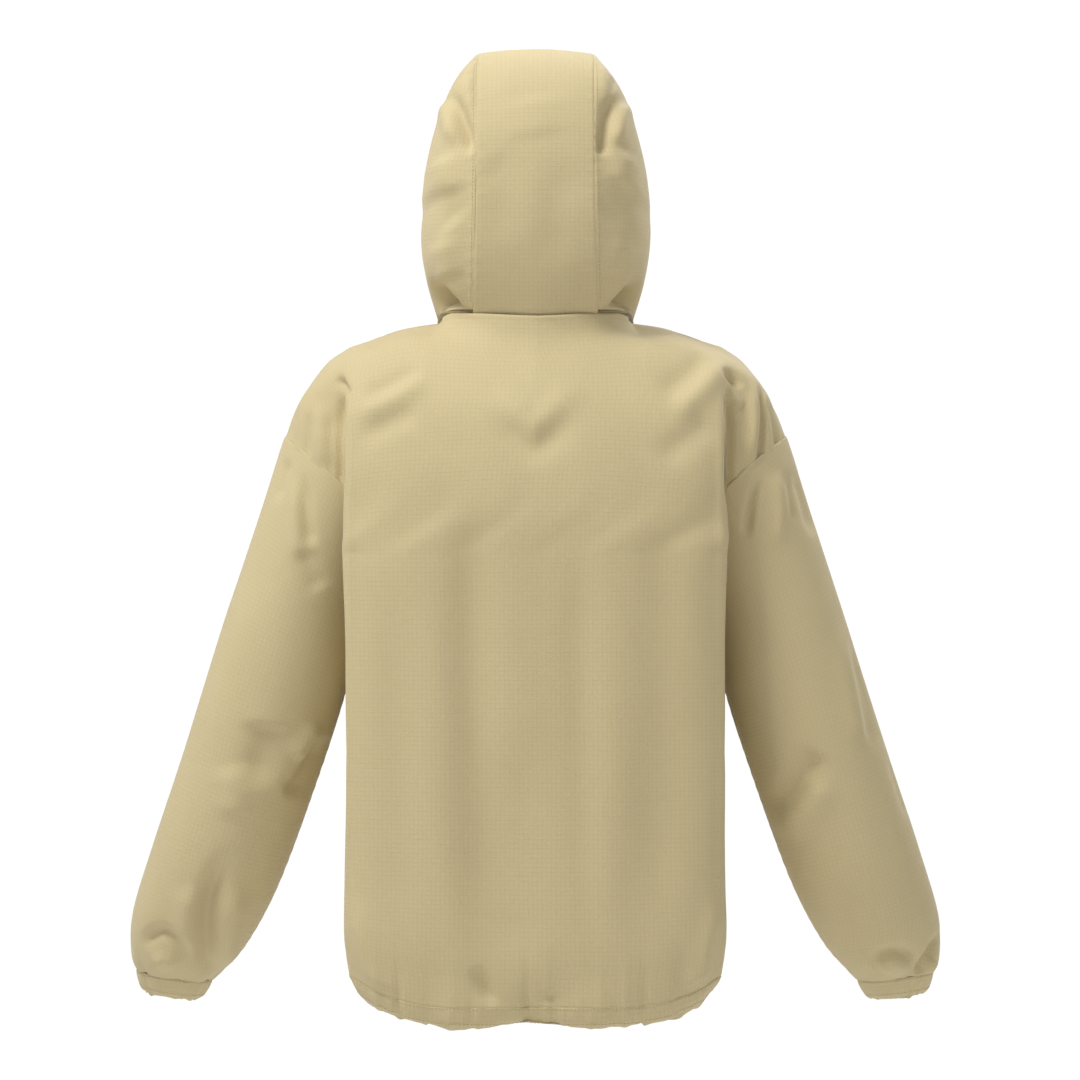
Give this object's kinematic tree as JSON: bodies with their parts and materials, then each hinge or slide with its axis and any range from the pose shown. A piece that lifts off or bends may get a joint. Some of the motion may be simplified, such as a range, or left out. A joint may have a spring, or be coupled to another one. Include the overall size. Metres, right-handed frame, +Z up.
{
  "type": "beekeeping suit jacket",
  "caption": "Hooded beekeeping jacket with a mesh veil in the hood, a front zip, a neck zip, elastic cuffs and an elastic hem.",
  "frame": {"origin": "middle of the neck, level with the shoulder ends of the neckline", "axes": "+Z up, the wearer faces -Y, +X is the wearer's left"},
  "size_m": [0.818, 0.3094, 0.9665],
  "materials": {
    "shell_cloth": "matte ripstop cotton and polyester cloth",
    "lining_cloth": "matte plain cloth",
    "veil_mesh": "matte black open mesh",
    "zip_tape": "matte woven tape",
    "zip_teeth": "satin moulded",
    "elastic": "matte ribbed elastic",
    "boning": "satin"
  },
  "bodies": {
    "jacket": {"back_panel": "shell_cloth", "front_panel_left": "shell_cloth", "front_panel_right": "shell_cloth", "hem_casing": "shell_cloth", "hem_elastic": "elastic", "neck_zip_tape_lower": "zip_tape", "neck_zip_chain_lower": "zip_teeth", "front_zip_tape_left": "zip_tape", "front_zip_chain_left": "zip_teeth", "front_zip_top_stop_left": "zip_teeth", "front_zip_tape_right": "zip_tape", "front_zip_chain_right": "zip_teeth", "front_zip_top_stop_right": "zip_teeth", "front_zip_box": "zip_teeth", "zip_guard": "lining_cloth", "chest_pocket": "shell_cloth", "side_pocket_left": "shell_cloth", "side_pocket_right": "shell_cloth", "neck_tape": "zip_tape", "hanger_loop": "zip_tape"},
    "hood": {"hood_centre_panel": "shell_cloth", "hood_side_panel_left": "shell_cloth", "hood_side_panel_right": "shell_cloth", "veil_binding_left": "zip_tape", "veil_binding_right": "zip_tape", "veil_binding_brow": "zip_tape", "veil_mesh": "veil_mesh", "hood_chin_panel": "shell_cloth", "veil_hoop": "boning", "neck_zip_chain_upper": "zip_teeth", "neck_zip_tape_upper": "zip_tape"},
    "front_slider": {"front_zip_slider": "zip_teeth"},
    "front_pull": {"front_zip_pull": "zip_teeth"},
    "pocket_flap": {"chest_pocket_flap": "shell_cloth"},
    "arm_left": {"sleeve_left": "shell_cloth", "cuff_casing_left": "shell_cloth", "cuff_elastic_left": "elastic"},
    "neck_slider_left": {"neck_zip_slider_left": "zip_teeth"},
    "neck_pull_left": {"neck_zip_pull_left": "zip_teeth"},
    "arm_right": {"sleeve_right": "shell_cloth", "cuff_casing_right": "shell_cloth", "cuff_elastic_right": "elastic"},
    "neck_slider_right": {"neck_zip_slider_right": "zip_teeth"},
    "neck_pull_right": {"neck_zip_pull_right": "zip_teeth"}
  },
  "joints": [
    {"name": "arm_left_raise", "type": "hinge", "parent": "jacket", "child": "arm_left", "pos_m": [0.252, 0, -0.125], "axis": [0, -1, 0], "range_deg": [0, 35]},
    {"name": "arm_right_raise", "type": "hinge", "parent": "jacket", "child": "arm_right", "pos_m": [-0.252, 0, -0.125], "axis": [0, 1, 0], "range_deg": [0, 35]},
    {"name": "hood_tip_back", "type": "hinge", "parent": "jacket", "child": "hood", "pos_m": [0, 0.0795, -0.012], "axis": [-1, 0, 0], "range_deg": [0, 105]},
    {"name": "front_zip", "type": "slide", "parent": "jacket", "child": "front_slider", "axis": [0, -0.1021, -0.9948], "range_m": [0, 0.578]},
    {"name": "front_zip_pull_lift", "type": "hinge", "parent": "front_slider", "child": "front_pull", "pos_m": [0, -0.08259, -0.09539], "axis": [-1, 0, 0], "range_deg": [0, 130]},
    {"name": "chest_flap_lift", "type": "hinge", "parent": "jacket", "child": "pocket_flap", "pos_m": [0.104, -0.0885, -0.2457], "axis": [-0.9673, -0.2536, 0], "range_deg": [0, 100]},
    {"name": "neck_zip_left", "type": "hinge", "parent": "jacket", "child": "neck_slider_left", "pos_m": [0, -0.002, -0.01], "axis": [0, -0.5736, 0.8191], "range_deg": [0, 60]},
    {"name": "neck_zip_pull_lift_left", "type": "hinge", "parent": "neck_slider_left", "child": "neck_pull_left", "pos_m": [0.03087, -0.08123, -0.06548], "axis": [0, -0.5736, 0.8191], "range_deg": [0, 120]},
    {"name": "neck_zip_right", "type": "hinge", "parent": "jacket", "child": "neck_slider_right", "pos_m": [0, -0.002, -0.01], "axis": [0, 0.5736, -0.8191], "range_deg": [0, 60]},
    {"name": "neck_zip_pull_lift_right", "type": "hinge", "parent": "neck_slider_right", "child": "neck_pull_right", "pos_m": [-0.03087, -0.08123, -0.06548], "axis": [0, 0.5736, -0.8191], "range_deg": [0, 120]}
  ]
}
